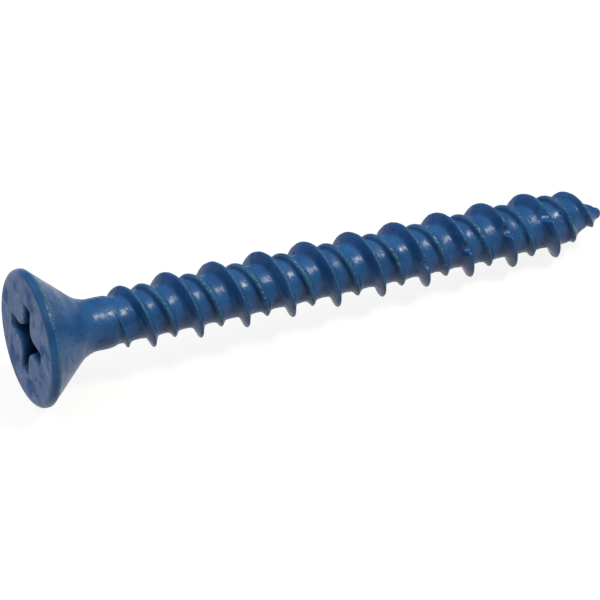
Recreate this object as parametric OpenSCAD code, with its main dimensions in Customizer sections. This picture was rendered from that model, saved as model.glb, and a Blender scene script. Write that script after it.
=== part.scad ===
// Concrete screw with a countersunk head, a cross recess and a high and a low thread.
// It lies as it comes to rest: on the rim of its head and on the last full turn of the high thread.
// Lengths are in millimetres and angles in degrees. The floor is z = 0 and the tip points along +x.

/* [Size] */
// Whole length, from the flat face of the head to the tip
screw_length = 57.15; // [45:0.05:80]

/* [Head] */
// Diameter across the head
head_diameter = 12.3; // [11:0.1:14]
// Height of the straight band round the rim
head_land = 0.75; // [0.6:0.05:1.2]
// Rounding between the flat face and the rim
head_edge = 0.5; // [0.1:0.05:0.5]
// Full angle of the cone under the head
countersink_angle = 82; // [80:1:90]
// Radius of the hollow blend from the cone into the shank
neck_radius = 3; // [1:0.5:4]

/* [Cross recess] */
// Distance across two opposite wings, at the face
recess_span = 6.7; // [5:0.1:7.5]
// Width of a wing at the face
wing_width = 1.3; // [1:0.05:1.6]
// Rounding of the noses between the wings
nose_radius = 1.2; // [0.4:0.1:1.6]
// Depth of the wings
recess_depth = 3.8; // [2.5:0.1:4]
// Share of the outline that is left at the bottom of the wings
recess_taper = 0.45; // [0.35:0.05:0.6]
// Turn of the recess away from the floor side
recess_turn = 2; // [0:1:89]

/* [Shank] */
// Diameter of the plain shank
shank_diameter = 4.7; // [4.5:0.1:5]
// Distance from the face of the head to the end of the plain shank
shank_end = 7.5; // [7.2:0.1:10]

/* [Thread] */
// Diameter over the high thread
high_diameter = 6.45; // [5.8:0.05:7]
// Diameter over the low thread
low_diameter = 5.3; // [4.8:0.05:5.6]
// Diameter of the root between the threads
root_diameter = 4.2; // [3.9:0.05:4.3]
// Advance of each thread in one turn
lead = 4.485; // [4.2:0.005:5]
// Place of the low thread after the high one, as a share of the lead
low_share = 0.47; // [0.45:0.01:0.55]
// Distance from the face of the head to a crest of the high thread on the floor side
crest_place = 2.85; // [0:0.05:4.5]
// Width of the crests
crest_width = 0.22; // [0.15:0.01:0.35]
// Angle of the flanks of the high thread to a plane across the screw
high_flank = 24; // [18:1:30]
// Angle of the flanks of the low thread to the same plane
low_flank = 33; // [25:1:38]
// Length over which the low thread grows to its full height, and the high one to about two thirds
run_in = 2.1; // [1:0.1:3]
// Length over which the threads widen to their full width
widening = 3; // [1:0.1:4]

/* [Notches] */
// Number of cutting notches in the high thread
notch_count = 4; // [0:1:6]
// Distance of the last notch from the tip
notch_place = 6.75; // [5.5:0.05:9]
// Angle from one notch to the next
notch_angle = 346; // [300:1:350]
// Width of the last notch at the crest
notch_width = 1.9; // [0.9:0.05:2.5]
// Width of the floor of the notches
notch_floor = 0.4; // [0.2:0.1:0.8]
// Depth of the last notch, as a share of the height of the high thread
notch_depth = 0.95; // [0.3:0.05:1]
// Share of that depth that each notch keeps from the one nearer the tip
notch_ease = 0.82; // [0.6:0.02:1]

/* [Tip] */
// Length of the cone at the tip
tip_length = 4.15; // [3:0.05:5]
// Diameter where the cone meets the rounded end
tip_diameter = 1.1; // [0.6:0.1:1.4]

/* [Hidden] */
coat_blue = [0.17, 0.28, 0.44];
overlap = 0.05;
head_r = head_diameter / 2;
shank_r = shank_diameter / 2;
high_r = high_diameter / 2;
low_r = low_diameter / 2;
root_r = root_diameter / 2;
tip_r = tip_diameter / 2;

// The cone under the head meets the line of the shank here, before the blend
cone_half = countersink_angle / 2;
cone_end = head_land + (head_r - shank_r) / tan(cone_half);
neck_end = cone_end + neck_radius * tan(cone_half / 2);
shank_taper = 0.9;

// The shallow point under the wings of the recess
point_depth = 0.6;
point_wide_r = 0.7 * wing_width;
point_end_r = 0.1;

// The threads start inside the shank and fade from just before the tip, slowly at first
thread_lap = 0.7;
fade_lap = 0.4;
fade_power = 0.65;
thread_start = shank_end - thread_lap;
tip_start = screw_length - tip_length;
fade_start = tip_start - fade_lap;
round_start = screw_length - tip_r;

// One turn of the thread form. Each point has the place of its ridge, its own place across that ridge,
// and its full height on the high thread and on the low one
root_fillet = 0.2;
fillet_rise = 0.1;
least_width = 0.15;
high_foot = crest_width / 2 + (high_r - root_r) * tan(high_flank);
low_foot = crest_width / 2 + (low_r - root_r) * tan(low_flank);
low_place = low_share * lead;
gap_start = high_foot + root_fillet;
gap_end = low_place - low_foot - root_fillet;
long_gap_start = low_place + low_foot + root_fillet;
long_gap_end = lead - high_foot - root_fillet;
thread_form = concat(
    ridge(0, high_foot, [high_r - root_r, 0]),
    [for (i = [1 : 2]) [gap_start + (gap_end - gap_start) * i / 3, 0, [0, 0]]],
    ridge(low_place, low_foot, [0, low_r - root_r]),
    [for (i = [1 : 3]) [long_gap_start + (long_gap_end - long_gap_start) * i / 4, 0, [0, 0]]]
);

// Rings across the screw that carry the thread: even ones, the first well inside the shank, then those of
// the rounded end
rings_per_turn = 22;
first_ring = thread_start - thread_lap;
even_rings = ceil((round_start - first_ring) * rings_per_turn / lead);
round_angles = [0, 25, 50, 72];
rings = concat(
    [for (i = [0 : even_rings - 1]) first_ring + i * (round_start - first_ring) / even_rings],
    [for (a = round_angles) round_start + tip_r * sin(a)]
);

// Turn of the high crest, counted from its first place on the floor side, at which the last notch is cut,
// and the shape that all notches share
last_notch = (screw_length - notch_place - crest_place) / lead;
deepest_notch = notch_depth * (high_r - root_r);
notch_slope = (notch_width - notch_floor) / 2 / deepest_notch;
notch_length = 2 * (high_foot + root_fillet);

// The resting pose: the end of the rim's band and the far edge of the last full crest on the floor side
// touch the floor
first_rest = crest_place + crest_width / 2;
rest_crest = first_rest + lead * floor((fade_start - first_rest) / lead);
rest_tilt = atan((head_r - high_r) / (rest_crest - head_land));
head_height = head_r * cos(rest_tilt) + head_land * sin(rest_tilt);
head_back = (head_r - head_edge) * sin(rest_tilt);
middle = (screw_length * cos(rest_tilt) - head_back) / 2;

// Six points of a ridge: two feet, each with a fillet, and the two edges of its crest
function ridge(place, foot, heights) =
    let (half = [[foot + root_fillet, 0], [foot, fillet_rise / norm(heights)], [crest_width / 2, 1]])
    concat(
        [for (i = [0 : 2]) [place, -half[i][0], half[i][1] * heights]],
        [for (i = [2 : -1 : 0]) [place, half[i][0], half[i][1] * heights]]
    );

// Radius of the root: straight, then the cone of the tip, then the rounded end
function root_at(s) =
    s < tip_start ? root_r :
    s < round_start ? root_r + (tip_r - root_r) * (s - tip_start) / (round_start - tip_start) :
    tip_r * sqrt(1 - pow((s - round_start) / tip_r, 2));

// Share of the ridge height that is left toward the tip
function fade_at(s) = pow(min(1, (screw_length - s) / (screw_length - fade_start)), fade_power);

// Shares of their height that the high and the low thread have reached since they started
function grown_at(s) =
    let (run = max(0, s - thread_start) / run_in)
    [1 - exp(-run), min(1, run)];

// Share of their width that both threads have reached
function width_at(s) = max(least_width, min(1, (s - thread_start) / widening));

// A point of the threaded surface, from a place along the axis and a point of the thread form
function thread_point(s, form) =
    let (radius = root_at(s) + fade_at(s) * (form[2] * grown_at(s)))
    let (turn = 360 * (s - crest_place - form[0] - form[1] * width_at(s)) / lead)
    [radius * cos(turn), radius * sin(turn), s];

// Half of the head, neck and shank, as radius and place along the axis
module head_outline() {
    rim = [for (a = [-90 : 30 : 0]) [head_r - head_edge * (1 - cos(a)), head_edge * (1 + sin(a))]];
    neck = [for (i = [0 : 6]) let (a = 180 + cone_half * (1 - i / 6))
        [shank_r + neck_radius * (1 + cos(a)), neck_end + neck_radius * sin(a)]];
    end = [
        [shank_r, shank_end],
        [root_r - overlap, shank_end + shank_taper],
        [0, shank_end + shank_taper]
    ];
    polygon(concat([[0, 0]], rim, [[head_r, head_land]], neck, end));
}

// Outline of the cross recess at the face, with rounded noses between its wings
module cross_outline() {
    offset(r = -nose_radius)
        offset(r = nose_radius, $fn = 48)
            for (a = [0, 90])
                rotate(a)
                    square([recess_span, wing_width], center = true);
}

// The hollow of the recess: tapered wings and a shallow point under them
module recess() {
    rotate(recess_turn) {
        translate([0, 0, -overlap])
            linear_extrude(height = recess_depth + overlap, scale = recess_taper)
                cross_outline();
        translate([0, 0, recess_depth - overlap])
            cylinder(h = point_depth + overlap, r1 = point_wide_r, r2 = point_end_r, $fn = 32);
    }
}

// Countersunk head and plain shank, with the recess cut
module head_and_shank() {
    difference() {
        rotate_extrude($fn = 96)
            head_outline();
        recess();
    }
}

// Root, high thread, low thread and tip as one closed skin
module threaded_part() {
    count = len(thread_form);
    last = len(rings) - 1;
    start_middle = len(rings) * count;
    points = concat(
        [for (s = rings) for (form = thread_form) thread_point(s, form)],
        [[0, 0, rings[0]], [0, 0, screw_length]]
    );
    sides = [for (i = [0 : last - 1]) for (j = [0 : count - 1])
        let (k = (j + 1) % count)
        let (a = i * count + j, b = i * count + k, c = a + count, d = b + count)
        each [[a, b, c], [b, d, c]]];
    ends = [for (j = [0 : count - 1])
        let (k = (j + 1) % count)
        each [[start_middle, k, j], [start_middle + 1, last * count + j, last * count + k]]];
    polyhedron(points, concat(sides, ends), convexity = 10);
}

// The hollow of one notch, across the high crest at that turn
module notch(turn, depth) {
    floor_r = high_r - depth;
    outer_r = high_r + overlap;
    floor_half = notch_floor / 2;
    outer_half = floor_half + notch_slope * (outer_r - floor_r);
    rotate(360 * turn)
        translate([0, 0, crest_place + lead * turn])
            linear_extrude(height = notch_length, center = true)
                polygon([
                    [floor_r, -floor_half],
                    [outer_r, -outer_half],
                    [outer_r, outer_half],
                    [floor_r, floor_half]
                ]);
}

// The threaded part with its notches cut
module notched_part() {
    difference() {
        threaded_part();
        for (i = [0 : 1 : notch_count - 1])
            notch(last_notch - i * notch_angle / 360, deepest_notch * pow(notch_ease, i));
    }
}

// The whole screw, laid on the floor with the middle of its length at the origin
module concrete_screw() {
    color(coat_blue)
        translate([-middle, 0, head_height])
            rotate([0, 90 + rest_tilt, 0])
                union() {
                    head_and_shank();
                    notched_part();
                }
}

concrete_screw();
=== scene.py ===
"""Looks of a blue-coated concrete screw that lies on a pale floor.

The screw is one closed skin, made in millimetres along its own axis, then laid on the floor in metres.
"""

import math

import bpy
import numpy as np
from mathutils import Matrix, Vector, noise


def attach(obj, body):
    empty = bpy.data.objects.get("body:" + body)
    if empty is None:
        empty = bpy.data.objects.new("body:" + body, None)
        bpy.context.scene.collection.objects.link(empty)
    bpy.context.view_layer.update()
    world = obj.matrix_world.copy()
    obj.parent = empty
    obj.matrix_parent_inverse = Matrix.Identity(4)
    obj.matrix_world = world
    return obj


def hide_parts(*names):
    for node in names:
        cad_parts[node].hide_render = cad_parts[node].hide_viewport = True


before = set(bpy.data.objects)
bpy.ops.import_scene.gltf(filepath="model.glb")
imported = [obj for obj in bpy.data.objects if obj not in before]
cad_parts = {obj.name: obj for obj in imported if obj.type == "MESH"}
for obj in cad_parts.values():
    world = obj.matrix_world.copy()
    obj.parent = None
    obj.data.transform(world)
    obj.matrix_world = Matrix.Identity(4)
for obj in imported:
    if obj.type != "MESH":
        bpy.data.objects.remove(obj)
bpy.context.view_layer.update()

MM = 0.001
TURN = 2 * math.pi

# Sizes of the part, in millimetres and degrees
LENGTH = 57.15
HEAD_R = 6.15
HEAD_LAND = 0.75
HEAD_EDGE = 0.5
CONE_HALF = 41.0
NECK_R = 3.0
SHANK_R = 2.35
SHANK_END = 7.5
SHANK_TAPER = 0.9
RECESS_SPAN = 6.7
WING_WIDTH = 1.3
NOSE_R = 1.2
RECESS_DEPTH = 3.8
RECESS_TAPER = 0.45
RECESS_POINT = 0.6
RECESS_TURN = 2.0
HIGH_R = 3.225
LOW_R = 2.65
ROOT_R = 2.1
ROOT_FILLET = 0.2
LEAD = 4.485
LOW_SHARE = 0.47
CREST_PLACE = 2.85
CREST_WIDTH = 0.22
HIGH_FLANK = 24.0
LOW_FLANK = 33.0
THREAD_LAP = 0.7
RUN_IN = 2.1
WIDENING = 3.0
LEAST_WIDTH = 0.15
NOTCH_COUNT = 4
NOTCH_PLACE = 6.75
NOTCH_ANGLE = 346.0
NOTCH_WIDTH = 1.9
NOTCH_FLOOR = 0.4
NOTCH_DEPTH = 0.95
NOTCH_EASE = 0.82
TIP_LENGTH = 4.15
TIP_R = 0.55
FADE_LAP = 0.4
FADE_POWER = 0.65

# Places along the axis that follow from them, and half widths of the ridges at their feet
CONE_SLOPE = math.radians(CONE_HALF)
CONE_END = HEAD_LAND + (HEAD_R - SHANK_R) / math.tan(CONE_SLOPE)
NECK_END = CONE_END + NECK_R * math.tan(CONE_SLOPE / 2)
THREAD_START = SHANK_END - THREAD_LAP
TIP_START = LENGTH - TIP_LENGTH
FADE_START = TIP_START - FADE_LAP
ROUND_START = LENGTH - TIP_R
LOW_PLACE = LOW_SHARE * LEAD
HIGH_FOOT = CREST_WIDTH / 2 + (HIGH_R - ROOT_R) * math.tan(math.radians(HIGH_FLANK))
LOW_FOOT = CREST_WIDTH / 2 + (LOW_R - ROOT_R) * math.tan(math.radians(LOW_FLANK))
HIGH_REACH = HIGH_FOOT + ROOT_FILLET

# The notches of the high crest, from the tip: the turns at which they are cut, their depths and slope,
# and the widest angle that one can span to each side, in radians
LAST_NOTCH = (LENGTH - NOTCH_PLACE - CREST_PLACE) / LEAD
NOTCH_TURNS = [LAST_NOTCH - i * NOTCH_ANGLE / 360 for i in range(NOTCH_COUNT)]
DEEPEST_NOTCH = NOTCH_DEPTH * (HIGH_R - ROOT_R)
NOTCH_DEPTHS = [DEEPEST_NOTCH * NOTCH_EASE**i for i in range(NOTCH_COUNT)]
NOTCH_SLOPE = (NOTCH_WIDTH - NOTCH_FLOOR) / 2 / DEEPEST_NOTCH
NOTCH_SPAN = 1.0

# The resting pose: the end of the rim's band and the far edge of the last full crest on the floor side
# touch the floor
FIRST_REST = CREST_PLACE + CREST_WIDTH / 2
REST_CREST = FIRST_REST + LEAD * math.floor((FADE_START - FIRST_REST) / LEAD)
REST_TILT = math.atan((HEAD_R - HIGH_R) / (REST_CREST - HEAD_LAND))
HEAD_HEIGHT = HEAD_R * math.cos(REST_TILT) + HEAD_LAND * math.sin(REST_TILT)
HEAD_BACK = (HEAD_R - HEAD_EDGE) * math.sin(REST_TILT)
MIDDLE = (LENGTH * math.cos(REST_TILT) - HEAD_BACK) / 2

# How the thick coat softens the form, in millimetres: rounded edges and meetings, filled notches, pools
# at the feet of the ridges and a plain end of the tip
BACK_EDGE = 0.2
WING_CORNER = 0.16
RECESS_LIP = 0.14
CREST_ROUND = 0.2
FOOT_ROUND = 0.45
FORM_ROUND = 0.05
SHANK_ROUND = 0.06
NOTCH_FILL = 0.12
NOTCH_ROUND = 0.42
POOL_HEIGHT = 0.06
POOL_REACH = 0.45
POOL_ROUND = 0.1
TIP_PLAIN = 1.5

# Swells of the coat, from a little behind the rim to the rounded tip: half of their depth, then the share
# of each size and its grains to a millimetre
SWELL_LAP = 0.3
SWELL_START = HEAD_LAND + SWELL_LAP
SWELL_DEPTH = 0.024
SWELL_SIZES = ((1.0, 1.1), (1.0, 2.6), (0.8, 4.6))

# Wear of the coat and painted shade, from 1 where the coat is thinnest to -1 where it is painted darkest:
# painted shade in the recess and at the feet of the ridges, where the coat is also thicker. Each stretch
# has its amount, its middle and its half width, in millimetres from the face of the head or, on the
# threads, from a crest
RIM_STRETCHES = ((0.25, HEAD_EDGE / 3, 0.12), (0.85, HEAD_LAND, 0.18), (-0.3, HEAD_EDGE, 0.15))
HIGH_CREST = (0.7, 0.0, 0.085)
LOW_CREST = (1.0, -0.04, 0.19)
# Painted shade at the feet of the ridges on the head's side, where the coat also pools
HIGH_POOL_SHADE = (-0.2, -0.45, 0.3)
LOW_POOL_SHADE = (-0.65, -0.36, 0.19)

# Length of thread over which its wear and painted shade set in, and the share of the crest's radius in a
# notch without either
WEAR_RUN_IN = 2.0
UNWORN_SHARE = 0.8

# Painted shade in the recess, where the coat is also thicker, and wear on its lip, the depth over which
# the one changes into the other and the share of the face over which the wear fades
RECESS_SHADE = -1.0
LIP_WEAR = 0.4
LIP_FADE = 0.25
FACE_FADE = 0.03

# Dullness, which is 1 on the handled face: what the lip of the recess has of it, and how much it loses
# toward the rim
LIP_DULL = 0.25
RIM_EASE = 0.5
RIM_EASE_POWER = 6

# Fineness of the skin: points round the shaft, twice as many round the face, and rings along each turn,
# which start to turn with the threads within the neck
SHAFT_POINTS = 96
FACE_POINTS = 2 * SHAFT_POINTS
RINGS_PER_TURN = 56
TWIST_START = 4.0

# Crowding of a ring's points: weights on the root, the ridges and their crests, with half widths in
# millimetres, and the steps in which it is added up
ROOT_WEIGHT = 0.4
HIGH_WEIGHT = 1.0
HIGH_CROWD = 0.45
LOW_WEIGHT = 0.9
LOW_CROWD = 0.35
CREST_WEIGHT = 1.3
CREST_CROWD = 0.16
CROWD_STEPS = 4000

# Steps along the head and the rounded tip, whose last ring lies at an angle in degrees
EDGE_STEPS = 8
BACK_STEPS = 5
CONE_STEPS = 25
NECK_STEPS = 15
TIP_STEPS = 7
TIP_ANGLE = 84

# Steps along an eighth of the recess outline, up its walls and over its lip, and shares of the way from
# the middle to the wings and from the lip to the rim
END_STEPS = 3
CORNER_STEPS = 6
SIDE_STEPS = 8
NOSE_STEPS = FACE_POINTS // 8 - END_STEPS - CORNER_STEPS - SIDE_STEPS
WALL_STEPS = 13
LIP_STEPS = 5
POINT_SHARES = (0.3, 0.65, 1.0)
FACE_SHARES = (0.03, 0.08, 0.15, 0.25, 0.37, 0.5, 0.64, 0.78, 0.9, 1.0)

# Colours of the coat, the floor and the light
DEEP_BLUE = (0.009, 0.049, 0.158, 1.0)
LIGHT_BLUE = (0.016, 0.075, 0.210, 1.0)
PIT_BLUE = (0.004, 0.038, 0.130, 1.0)
# Dark blue painted as shade in the recess and at the feet of the ridges, where the coat is also thicker
POOL_AND_SHADE_BLUE = (0.001, 0.016, 0.050, 1.0)
THIN_TEAL = (0.031, 0.116, 0.138, 1.0)
BARE_STEEL = (0.25, 0.36, 0.38, 1.0)
FLOOR_GREY = (0.39, 0.39, 0.39, 1.0)
FLOOR_PALE = (0.85, 0.85, 0.85, 1.0)
WHITE = (1.0, 1.0, 1.0, 1.0)
WARM_WHITE = (1.0, 0.95, 0.79)
COOL_WHITE = (0.94, 0.97, 1.0)

# Grains of the coat's patterns to a metre
DRIFT_GRAINS = 420.0
LONG_PATCH_GRAINS = 320.0
SHORT_PATCH_GRAINS = 1700.0
FLECK_GRAINS = 3800.0
PEEL_GRAINS = 1300.0
MOTTLE_GRAINS = 3600.0
CHIP_GRAINS = 3200.0
PIT_GRAINS = 2300.0
SATIN_GRAINS = 900.0
SMUDGE_GRAINS = 480.0

# Relief and gloss of the coat: the height and strength of its orange peel, the mottle, pits and chips as
# shares of it, the roughness that the pits add and the index of refraction
PEEL_HEIGHT = 0.06 * MM
PEEL_STRENGTH = 0.8
MOTTLE_SHARE = 0.25
PIT_SHARE = 0.6
CHIP_SHARE = 2.0
PIT_ROUGHNESS = 0.3
COAT_IOR = 1.32

# The floor's half side in metres, the share of it that glows, and the strength of the surroundings
FLOOR_HALF = 1.5
GLOW_SHARE = 0.88
FILL_STRENGTH = 0.16

# The camera: the side it looks from, in degrees, the point it looks at and the distance from there, in
# millimetres of the scene, then the focal length
AZIMUTH = -25.73
ELEVATION = 35.05
AIM = (-2.314, -0.337, 2.633)
DISTANCE = 301.8
FOCAL_LENGTH = 202.4
NEAREST = 10

# The inputs and the output of a mixing node that carry colours
MIX_FIRST = 6
MIX_SECOND = 7
MIX_RESULT = 2


def steps(start, end, count):
    """Values from start to end in that many even steps."""
    return np.linspace(start, end, count + 1)


def smooth_max(a, b, width):
    """The larger of two values, rounded where they differ by less than the width."""
    return np.maximum(a, b) + np.maximum(width - np.abs(a - b), 0.0) ** 2 / (4 * width)


def smooth_min(a, b, width):
    """The smaller of two values, rounded where they differ by less than the width."""
    return -smooth_max(-a, -b, width)


def smooth_step(low, high, x):
    """From 0 below low to 1 above high, without corners."""
    t = np.clip((x - low) / (high - low), 0.0, 1.0)
    return t * t * (3.0 - 2.0 * t)


def bell(x, half_width):
    """A bell curve, 1 at zero and about a third at its half width."""
    return np.exp(-((x / half_width) ** 2))


def even_angles(count):
    """Even angles round the axis, from the middle of a wing of the recess."""
    return math.radians(RECESS_TURN) + TURN * np.arange(count) / count


def directions(angle):
    """Unit vectors across the axis at those angles."""
    return np.stack([np.cos(angle), np.sin(angle)], 1)


def from_crest(phase, place):
    """Signed distance along the axis from the nearest crest of a thread."""
    return (phase - place + LEAD / 2) % LEAD - LEAD / 2


def ridge(x, height, flank):
    """Height of a thread ridge, with a rounded crest and hollow roots."""
    slope = math.tan(math.radians(flank))
    side = (CREST_WIDTH / 2 + height * slope - np.abs(x)) / slope
    return smooth_max(0.0, smooth_min(height, side, CREST_ROUND), FOOT_ROUND)


def shank_radius(s):
    """Radius of the plain shank, which tapers into the root at its end."""
    taper = (SHANK_R - ROOT_R) / SHANK_TAPER
    return smooth_min(SHANK_R, SHANK_R - taper * (s - SHANK_END), SHANK_ROUND)


def root_radius(s):
    """Radius of the root: straight, then the cone of the tip, then its rounded end."""
    cone = ROOT_R + (TIP_R - ROOT_R) * (s - TIP_START) / (ROUND_START - TIP_START)
    ball = TIP_R * np.sqrt(np.clip(1.0 - ((s - ROUND_START) / TIP_R) ** 2, 0.0, 1.0))
    return np.where(s < ROUND_START, smooth_min(ROOT_R, cone, FORM_ROUND), ball)


def notch_radius(s, from_high):
    """Largest radius that the notches leave, at a place along the axis and distances from a high crest."""
    turn = (s - from_high - CREST_PLACE) / LEAD
    limit = np.full(len(turn), np.inf)
    for middle, depth in zip(NOTCH_TURNS, NOTCH_DEPTHS):
        angle = np.abs(turn - middle) * TURN
        floor = HIGH_R - depth
        opening = NOTCH_SLOPE * np.cos(angle) - np.sin(angle)
        inside = (angle < NOTCH_SPAN) & (opening > 0.0)
        side = (NOTCH_SLOPE * floor - NOTCH_FLOOR / 2) / np.where(inside, opening, 1.0)
        cut = np.maximum(floor / np.cos(angle), side)
        limit = np.where(inside, np.minimum(limit, cut), limit)
    return limit


def thread_radius(s, phase):
    """Radius of the threaded surface at a place along the axis and a phase within one turn."""
    run = np.maximum(s - THREAD_START, 0.0) / RUN_IN
    grown = np.minimum(run, 1.0)
    width = np.clip((s - THREAD_START) / WIDENING, LEAST_WIDTH, 1.0)
    from_high = from_crest(phase, 0.0)
    from_low = from_crest(phase, LOW_PLACE)
    high = ridge(from_high / width, HIGH_R - ROOT_R, HIGH_FLANK) * (1.0 - np.exp(-run))
    low = ridge(from_low / width, LOW_R - ROOT_R, LOW_FLANK) * grown
    from_foot = np.minimum(np.abs(from_high) - HIGH_FOOT, np.abs(from_low) - LOW_FOOT)
    pool = POOL_HEIGHT * bell(np.maximum(from_foot, 0.0), POOL_REACH) * grown
    fade = np.clip((LENGTH - s) / (LENGTH - FADE_START), 0.0, 1.0) ** FADE_POWER
    fade *= smooth_step(0.0, TIP_PLAIN, LENGTH - s)
    radius = root_radius(s) + smooth_max(np.maximum(high, low), pool, POOL_ROUND) * fade
    notched = smooth_min(radius, notch_radius(s, from_high) + NOTCH_FILL, NOTCH_ROUND)
    return np.where(np.abs(from_high) < HIGH_REACH, notched, radius)


def ring_angles():
    """Angles round a ring where the threads begin, closer together on the ridges than on the root."""
    fine = steps(0.0, LEAD, CROWD_STEPS)
    high = np.abs(from_crest(fine, 0.0))
    low = np.abs(from_crest(fine, LOW_PLACE))
    weight = ROOT_WEIGHT + HIGH_WEIGHT * bell(high, HIGH_CROWD) + LOW_WEIGHT * bell(low, LOW_CROWD)
    weight += CREST_WEIGHT * bell(np.minimum(high, low), CREST_CROWD)
    share = np.cumsum(weight)
    share = (share - share[0]) / (share[-1] - share[0])
    phase = np.interp(np.arange(SHAFT_POINTS) / SHAFT_POINTS, share, fine)
    angle = TURN * (NECK_END - CREST_PLACE - phase) / LEAD
    first = math.radians(RECESS_TURN)
    return first + np.sort((angle - first) % TURN)


def head_rings():
    """Radius and place of each ring of the rim, cone and neck."""
    rim = []
    for a in np.radians(steps(-90, 0, EDGE_STEPS)[1:]):
        rim.append((HEAD_R - HEAD_EDGE * (1 - math.cos(a)), HEAD_EDGE * (1 + math.sin(a))))
    back = HEAD_LAND - BACK_EDGE * math.tan(math.pi / 4 - CONE_SLOPE / 2)
    for a in steps(0, math.pi / 2 - CONE_SLOPE, BACK_STEPS):
        rim.append((HEAD_R - BACK_EDGE * (1 - math.cos(a)), back + BACK_EDGE * math.sin(a)))
    neck = []
    for a in steps(CONE_SLOPE, 0, NECK_STEPS):
        neck.append((SHANK_R + NECK_R * (1 - math.cos(a)), NECK_END - NECK_R * math.sin(a)))
    cone = steps(rim[-1], neck[0], CONE_STEPS)[1:-1]
    return [*rim, *cone, *neck]


def shaft_rings():
    """Plain radius and place of each ring from the neck to the tip, closer together at the notches."""
    step = LEAD / RINGS_PER_TURN
    even = np.arange(NECK_END + step, ROUND_START - step / 2, step)
    notches = CREST_PLACE + LEAD * np.array(NOTCH_TURNS)
    near = even[np.min(np.abs(even[:, None] - notches), 1) < HIGH_REACH]
    tip = ROUND_START + TIP_R * np.sin(np.radians(steps(0, TIP_ANGLE, TIP_STEPS)))
    places = np.sort(np.concatenate([even, near + step / 3, near + step * 2 / 3, tip]))
    return [(shank_radius(s), s) for s in places]


def wing_edge():
    """An eighth of the recess outline, from a wing's end to a nose: points and angles of its normals."""
    half = WING_WIDTH / 2
    end = RECESS_SPAN / 2
    corner = end - WING_CORNER
    nose = half + NOSE_R
    path = []
    for y in steps(0.0, half - WING_CORNER, END_STEPS)[:-1]:
        path.append((end, y, 0.0))
    for a in np.radians(steps(0, 90, CORNER_STEPS)):
        path.append((corner + WING_CORNER * math.cos(a), half - WING_CORNER * (1 - math.sin(a)), a))
    for x in steps(corner, nose, SIDE_STEPS)[1:]:
        path.append((x, half, math.pi / 2))
    for a in np.radians(steps(90, 45, NOSE_STEPS)[1:]):
        path.append((nose - NOSE_R * math.cos(a), nose - NOSE_R * math.sin(a), a))
    return np.array(path)


def cross_outline():
    """Outline of the recess at the face, in order round the axis, and the direction of its normals."""
    eighth = wing_edge()
    back = eighth[::-1][1:-1]
    mirrored = np.stack([back[:, 1], back[:, 0], math.pi / 2 - back[:, 2]], 1)
    quarter = np.concatenate([eighth, mirrored])
    points = []
    normals = []
    for a in even_angles(4):
        turn = np.array([[math.cos(a), math.sin(a)], [-math.sin(a), math.cos(a)]])
        points.append(quarter[:, :2] @ turn)
        normals.append(directions(quarter[:, 2]) @ turn)
    return np.concatenate(points), np.concatenate(normals)


class Skin:
    """Points, faces, wear with painted shade, and dullness of the growing mesh, in the screw's own frame.
    """

    def __init__(self):
        self.points = []
        self.wear_and_shade = []
        self.dull = []
        self.faces = []
        self.count = 0

    def add(self, points, wear_and_shade, dull=0.0):
        """Adds points, each with its wear and painted shade and its dullness, and gives the number of the
        first.
        """
        start = self.count
        self.points.append(np.asarray(points, float))
        self.wear_and_shade.append(np.broadcast_to(np.asarray(wear_and_shade, float), (len(points),)))
        self.dull.append(np.full(len(points), float(dull)))
        self.count += len(points)
        return start

    def band(self, first, second, count):
        """Joins two loops of the same number of points."""
        for j in range(count):
            k = (j + 1) % count
            self.faces.append((first + j, first + k, second + k, second + j))

    def fan(self, middle, loop, count, turn):
        """Joins a loop to a point in its middle, with a turn of 1 at the tip and -1 in the recess."""
        for j in range(count):
            self.faces.append((middle, loop + j, loop + (j + turn) % count))

    def halve(self, wide, narrow, count):
        """Joins a loop of twice as many points to a loop of that many."""
        for j in range(count):
            k = (j + 1) % count
            a, b, c = wide + 2 * j, wide + 2 * j + 1, wide + 2 * k
            self.faces.append((a, b, narrow + j))
            self.faces.append((b, narrow + k, narrow + j))
            self.faces.append((b, c, narrow + k))


def recess_loops():
    """Loops of the recess from its bottom to its lip: outline, depth, wear and painted shade, and dullness
    of each.
    """
    outline, normals = cross_outline()
    shrink = (1.0 - RECESS_TAPER) / RECESS_DEPTH
    loops = []
    for share in POINT_SHARES:
        depth = RECESS_DEPTH + RECESS_POINT * (1.0 - share)
        loops.append((outline * RECESS_TAPER * share, depth, RECESS_SHADE, 0.0))
    # Painted shade of the recess, darkest at its bottom, fades up the walls into the wear of the lip
    for depth in steps(RECESS_DEPTH, RECESS_LIP, WALL_STEPS)[1:]:
        wear_and_shade = RECESS_SHADE + (LIP_WEAR - RECESS_SHADE) * math.exp((RECESS_LIP - depth) / LIP_FADE)
        loops.append((outline * (1.0 - shrink * depth), depth, wear_and_shade, 0.0))
    for share in steps(0.0, 1.0, LIP_STEPS)[1:]:
        a = share * math.pi / 2
        wide = outline * (1.0 - shrink * RECESS_LIP) + normals * RECESS_LIP * (1 - math.cos(a))
        wear_and_shade = LIP_WEAR + (1.0 - LIP_WEAR) * math.sin(2 * a)
        loops.append((wide, RECESS_LIP * (1 - math.sin(a)), wear_and_shade, LIP_DULL * share))
    return loops


def face_loops(lip):
    """Loops of the flat face from the lip to the rim: outline, depth, wear and dullness of each."""
    rim = (HEAD_R - HEAD_EDGE) * directions(even_angles(FACE_POINTS))
    loops = []
    for share in FACE_SHARES:
        wear_and_shade = LIP_WEAR * math.exp(-share / FACE_FADE)
        dull = 1.0 - RIM_EASE * share**RIM_EASE_POWER
        loops.append((lip + (rim - lip) * share, 0.0, wear_and_shade, dull))
    return loops


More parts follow.
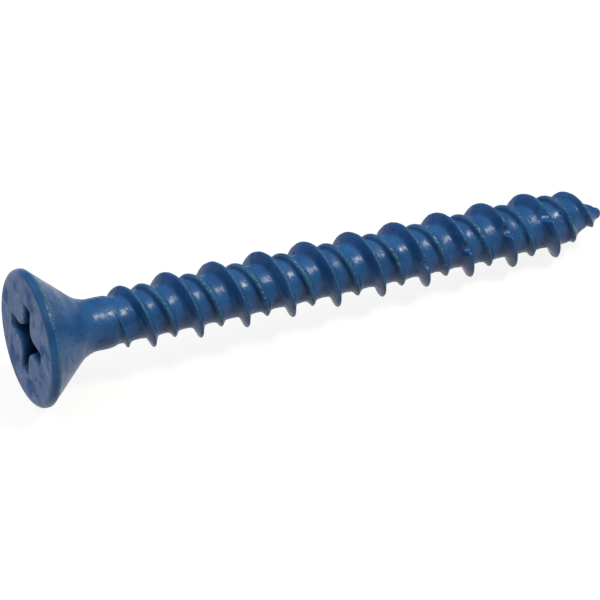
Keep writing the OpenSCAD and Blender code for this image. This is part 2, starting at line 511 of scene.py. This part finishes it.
def add_recess_and_face(skin):
    """The recess from its point up to the lip, then the flat face out to the rim, whose loop it gives."""
    loops = recess_loops()
    loops += face_loops(loops[-1][0])
    point = skin.add([[0.0, 0.0, RECESS_DEPTH + RECESS_POINT]], RECESS_SHADE)
    last = None
    for outline, depth, wear_and_shade, dull in loops:
        loop = skin.add(np.column_stack([outline, np.full(FACE_POINTS, depth)]), wear_and_shade, dull)
        if last is None:
            skin.fan(point, loop, FACE_POINTS, -1)
        else:
            skin.band(last, loop, FACE_POINTS)
        last = loop
    return last


def coat_swell(points):
    """Swells and small lumps of the coat. They only lower the surface, so it stays in the part's box."""
    swell = np.zeros(len(points))
    for share, grains in SWELL_SIZES:
        swell += [share * noise.noise(Vector(p) * grains) for p in points]
    return SWELL_DEPTH * (np.clip(swell, -1.0, 1.0) - 1.0)


def stretch(x, amount, middle, half_width):
    """Wear of one stretch of the coat at x."""
    return amount * bell(x - middle, half_width)


def rim_wear(s):
    """Wear of the head: thin at the edges of the rim, painted darker on the band between them."""
    return sum(stretch(s, *values) for values in RIM_STRETCHES)


def thread_wear_and_shade(s, phase):
    """Wear and painted shade of the threads: thin crests, painted shade on the feet on the head's side,
    where the coat is also thicker, and none in the deep notches.
    """
    high = from_crest(phase, 0.0)
    low = from_crest(phase, LOW_PLACE)
    thin = np.maximum(stretch(high, *HIGH_CREST), stretch(low, *LOW_CREST))
    # Painted shade at the feet of the ridges on the head's side
    pooled_and_shade = stretch(high, *HIGH_POOL_SHADE) + stretch(low, *LOW_POOL_SHADE)
    begun = smooth_step(THREAD_START, THREAD_START + WEAR_RUN_IN, s)
    kept = np.minimum(notch_radius(s, high) / HIGH_R, 1.0)
    left = smooth_step(UNWORN_SHARE, 1.0, kept) * smooth_step(0.0, TIP_PLAIN, LENGTH - s)
    return begun * left * (thin + pooled_and_shade)


def shaft_ring(s, plain, angle):
    """Points, wear and painted shade of one ring, from its place, the radius of its plain form and its
    angles.
    """
    phase = (s - CREST_PLACE - angle * LEAD / TURN) % LEAD
    radius = smooth_max(plain, thread_radius(s, phase), FORM_ROUND)
    direction = directions(angle)
    points = np.column_stack([radius[:, None] * direction, np.full(len(angle), s)])
    if SWELL_START < s < ROUND_START:
        points[:, :2] += coat_swell(points)[:, None] * direction
    wear_and_shade = rim_wear(s) if s < NECK_END else thread_wear_and_shade(s, phase)
    return points, wear_and_shade


def add_shaft(skin, face_loop):
    """Rim, cone, neck, shank, threads and tip, ring by ring, and the closing point."""
    even = even_angles(SHAFT_POINTS)
    begun = ring_angles()
    last = None
    for plain, s in head_rings() + shaft_rings():
        twisted = begun + TURN * max(0.0, s - NECK_END) / LEAD
        share = smooth_step(TWIST_START, NECK_END, s)
        points, wear_and_shade = shaft_ring(s, plain, even + (twisted - even) * share)
        ring = skin.add(points, wear_and_shade)
        if last is None:
            skin.halve(face_loop, ring, SHAFT_POINTS)
        else:
            skin.band(last, ring, SHAFT_POINTS)
        last = ring
    tip = skin.add([[0.0, 0.0, LENGTH]], 0.0)
    skin.fan(tip, last, SHAFT_POINTS, 1)


def laid_down(points):
    """From the screw's own frame, axis along z and floor side along x, to the floor in metres."""
    cosine = math.cos(REST_TILT)
    sine = math.sin(REST_TILT)
    x = -sine * points[:, 0] + cosine * points[:, 2] - MIDDLE
    z = -cosine * points[:, 0] - sine * points[:, 2] + HEAD_HEIGHT
    return np.stack([x, points[:, 1], z], 1) * MM


def make_screw():
    """The whole screw as one smooth mesh that carries its wear with painted shade, and its dullness, as
    attributes.
    """
    skin = Skin()
    face_loop = add_recess_and_face(skin)
    add_shaft(skin, face_loop)
    mesh = bpy.data.meshes.new("coated_screw")
    mesh.from_pydata(laid_down(np.concatenate(skin.points)), [], skin.faces)
    for name, values in (("wear_and_shade", skin.wear_and_shade), ("dull", skin.dull)):
        attribute = mesh.attributes.new(name, "FLOAT", "POINT")
        attribute.data.foreach_set("value", np.concatenate(values).astype(np.float32))
    mesh.polygons.foreach_set("use_smooth", np.ones(len(mesh.polygons), bool))
    mesh.update()
    screw = bpy.data.objects.new("coated_screw", mesh)
    bpy.context.scene.collection.objects.link(screw)
    return screw


class Nodes:
    """Short calls for making and joining the nodes of one tree."""

    def __init__(self, owner):
        owner.use_nodes = True
        self.tree = owner.node_tree
        self.tree.nodes.clear()

    def new(self, kind, **values):
        """A node of that kind, with inputs set by name, where an underscore stands for a space."""
        node = self.tree.nodes.new(kind)
        for name, value in values.items():
            node.inputs[name.replace("_", " ")].default_value = value
        return node

    def link(self, source, target):
        """Joins an output to an input."""
        self.tree.links.new(source, target)

    def attribute(self, name):
        """Value of an attribute of the mesh."""
        node = self.new("ShaderNodeAttribute")
        node.attribute_name = name
        return node.outputs["Fac"]

    def noise(self, place, grains, detail):
        """Value of a noise with that many grains to a metre."""
        node = self.new("ShaderNodeTexNoise", Scale=grains, Detail=detail)
        self.link(place, node.inputs["Vector"])
        return node.outputs["Fac"]

    def ramp(self, value, low, high, start=0.0, end=1.0):
        """Maps the range from low to high onto start to end, and holds it there outside."""
        node = self.new("ShaderNodeMapRange", From_Min=low, From_Max=high, To_Min=start, To_Max=end)
        self.link(value, node.inputs["Value"])
        return node.outputs["Result"]

    def patches(self, place, grains, detail, **limits):
        """A noise that is spread over the limits of a ramp."""
        return self.ramp(self.noise(place, grains, detail), **limits)

    def math(self, operation, a, b):
        """Two values joined by an operation, the second a socket or a number."""
        node = self.new("ShaderNodeMath")
        node.operation = operation
        self.link(a, node.inputs[0])
        if isinstance(b, float):
            node.inputs[1].default_value = b
        else:
            self.link(b, node.inputs[1])
        return node.outputs[0]

    def mix(self, share, first, second):
        """Mixes two colours, the first a socket or a colour, the second a colour."""
        node = self.new("ShaderNodeMix")
        node.data_type = "RGBA"
        self.link(share, node.inputs[0])
        if isinstance(first, tuple):
            node.inputs[MIX_FIRST].default_value = first
        else:
            self.link(first, node.inputs[MIX_FIRST])
        node.inputs[MIX_SECOND].default_value = second
        return node.outputs[MIX_RESULT]


def coat_colour(nodes, place, wear_and_shade, pits):
    """Deep blue that drifts slowly, darker in pits, painted darker as shade in the recess and at the feet
    of the ridges, where the coat is also thicker, teal and flecked where the coat is thin.
    """
    drift = nodes.patches(place, DRIFT_GRAINS, detail=4.0, low=0.35, high=0.65)
    blue = nodes.mix(drift, DEEP_BLUE, LIGHT_BLUE)
    pitted = nodes.mix(pits, blue, PIT_BLUE)
    # Painted shade: a darker blue where the attribute is below zero, in the recess and at the feet of the
    # ridges
    pooled_and_shade = nodes.mix(nodes.ramp(wear_and_shade, low=0.0, high=-0.9), pitted, POOL_AND_SHADE_BLUE)
    long_patch = nodes.patches(place, LONG_PATCH_GRAINS, detail=2.0, low=0.38, high=0.62, start=0.3)
    short_patch = nodes.patches(place, SHORT_PATCH_GRAINS, detail=3.0, low=0.35, high=0.65, start=0.4)
    patch = nodes.math("MULTIPLY", long_patch, short_patch)
    thin = nodes.math("MULTIPLY", nodes.ramp(wear_and_shade, low=0.0, high=1.0), patch)
    edged = nodes.mix(thin, pooled_and_shade, THIN_TEAL)
    fleck = nodes.patches(place, FLECK_GRAINS, detail=2.0, low=0.62, high=0.72)
    bare = nodes.math("MULTIPLY", nodes.ramp(wear_and_shade, low=0.68, high=1.0), fleck)
    return nodes.mix(bare, edged, BARE_STEEL)


def coat_height(nodes, place, wear_and_shade, pits):
    """Height of the orange peel, less the small pits and the chips of thin edges, as a share."""
    mottle = nodes.math("MULTIPLY", nodes.noise(place, MOTTLE_GRAINS, detail=1.0), MOTTLE_SHARE)
    peel = nodes.math("ADD", nodes.noise(place, PEEL_GRAINS, detail=2.0), mottle)
    chip = nodes.patches(place, CHIP_GRAINS, detail=2.0, low=0.4, high=0.6)
    chips = nodes.math("MULTIPLY", chip, nodes.ramp(wear_and_shade, low=0.2, high=0.9))
    pitted = nodes.math("MULTIPLY", pits, PIT_SHARE)
    chipped = nodes.math("MULTIPLY", chips, CHIP_SHARE)
    return nodes.math("SUBTRACT", peel, nodes.math("ADD", pitted, chipped))


def coat_roughness(nodes, place, pits):
    """Satin that varies slowly, rougher in the pits and on the handled face, most of all in smudges."""
    satin = nodes.patches(place, SATIN_GRAINS, detail=3.0, low=0.3, high=0.7, start=0.255, end=0.40)
    pitted = nodes.math("ADD", satin, nodes.math("MULTIPLY", pits, PIT_ROUGHNESS))
    smudge = nodes.patches(place, SMUDGE_GRAINS, detail=4.0, low=0.45, high=0.37, start=0.08, end=0.32)
    return nodes.math("ADD", pitted, nodes.math("MULTIPLY", smudge, nodes.attribute("dull")))


def coat_material():
    """Satin blue coat over steel."""
    material = bpy.data.materials.new("blue_coat")
    nodes = Nodes(material)
    place = nodes.new("ShaderNodeTexCoord").outputs["Object"]
    wear_and_shade = nodes.attribute("wear_and_shade")
    pits = nodes.patches(place, PIT_GRAINS, detail=1.0, low=0.31, high=0.24)
    shader = nodes.new("ShaderNodeBsdfPrincipled", IOR=COAT_IOR)
    nodes.link(coat_colour(nodes, place, wear_and_shade, pits), shader.inputs["Base Color"])
    nodes.link(coat_roughness(nodes, place, pits), shader.inputs["Roughness"])
    bump = nodes.new("ShaderNodeBump", Strength=PEEL_STRENGTH, Distance=PEEL_HEIGHT)
    nodes.link(coat_height(nodes, place, wear_and_shade, pits), bump.inputs["Height"])
    nodes.link(bump.outputs["Normal"], shader.inputs["Normal"])
    output = nodes.new("ShaderNodeOutputMaterial")
    nodes.link(shader.outputs[0], output.inputs["Surface"])
    return material


def background_rays(nodes):
    """1 for the rays that show the background: from the camera, off gloss and through glass."""
    path = nodes.new("ShaderNodeLightPath")
    seen = nodes.math("MAXIMUM", path.outputs["Is Camera Ray"], path.outputs["Is Transmission Ray"])
    return nodes.math("MAXIMUM", seen, path.outputs["Is Glossy Ray"])


def floor_material():
    """Pale floor that looks white, keeps a faint shadow and sends part of the light back to the screw."""
    material = bpy.data.materials.new("pale_floor")
    nodes = Nodes(material)
    seen = background_rays(nodes)
    matte = nodes.new("ShaderNodeBsdfDiffuse")
    nodes.link(nodes.mix(seen, FLOOR_GREY, FLOOR_PALE), matte.inputs["Color"])
    glow = nodes.new("ShaderNodeEmission", Color=WHITE, Strength=1.0)
    both = nodes.new("ShaderNodeMixShader")
    nodes.link(nodes.math("MULTIPLY", seen, GLOW_SHARE), both.inputs[0])
    nodes.link(matte.outputs[0], both.inputs[1])
    nodes.link(glow.outputs[0], both.inputs[2])
    output = nodes.new("ShaderNodeOutputMaterial")
    nodes.link(both.outputs[0], output.inputs["Surface"])
    return material


def make_floor():
    """A wide plane under the screw."""
    mesh = bpy.data.meshes.new("floor")
    corners = [(x * FLOOR_HALF, y * FLOOR_HALF, 0) for x, y in ((-1, -1), (1, -1), (1, 1), (-1, 1))]
    mesh.from_pydata(corners, [], [(0, 1, 2, 3)])
    mesh.materials.append(floor_material())
    floor = bpy.data.objects.new("floor", mesh)
    bpy.context.scene.collection.objects.link(floor)


def make_world():
    """Even white surroundings that fill the shade softly."""
    world = bpy.data.worlds.new("white_tent")
    bpy.context.scene.world = world
    nodes = Nodes(world)
    fill = nodes.new("ShaderNodeBackground", Color=WHITE, Strength=FILL_STRENGTH)
    output = nodes.new("ShaderNodeOutputWorld")
    nodes.link(fill.outputs[0], output.inputs["Surface"])


def make_light(name, direction, distance, size, power, colour, gloss):
    """A square soft box that faces the screw, with or without a reflection in its gloss."""
    lamp = bpy.data.lights.new(name, "AREA")
    lamp.size = size
    lamp.energy = power
    lamp.color = colour
    light = bpy.data.objects.new(name, lamp)
    light.visible_glossy = gloss
    toward = Vector(direction).normalized()
    light.location = toward * distance
    light.rotation_euler = toward.to_track_quat("Z", "Y").to_euler()
    bpy.context.scene.collection.objects.link(light)


def make_lights():
    """A small warm light in front that shines in the coat, and a large cool one behind that only fills."""
    make_light(
        "soft_box",
        direction=(0.44, -0.32, 0.84),
        distance=0.4,
        size=0.092,
        power=1.75,
        colour=WARM_WHITE,
        gloss=True,
    )
    make_light(
        "back_box",
        direction=(-0.5, 0.3, 0.8),
        distance=0.4,
        size=0.8,
        power=3.3,
        colour=COOL_WHITE,
        gloss=False,
    )


def make_camera():
    """A long lens that looks down on the screw from the head's side."""
    azimuth = math.radians(AZIMUTH)
    elevation = math.radians(ELEVATION)
    flat = math.cos(elevation)
    toward = Vector((math.sin(azimuth) * flat, -math.cos(azimuth) * flat, math.sin(elevation)))
    lens = bpy.data.cameras.new("camera")
    lens.lens = FOCAL_LENGTH
    lens.clip_start = NEAREST * MM
    camera = bpy.data.objects.new("camera", lens)
    camera.location = Vector(AIM) * MM + toward * DISTANCE * MM
    camera.rotation_euler = toward.to_track_quat("Z", "Y").to_euler()
    bpy.context.scene.collection.objects.link(camera)
    bpy.context.scene.camera = camera


screw = make_screw()
screw.data.materials.append(coat_material())
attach(screw, "root")
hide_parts("concrete_screw")
make_floor()
make_world()
make_lights()
make_camera()
bpy.context.scene.view_settings.view_transform = "Standard"
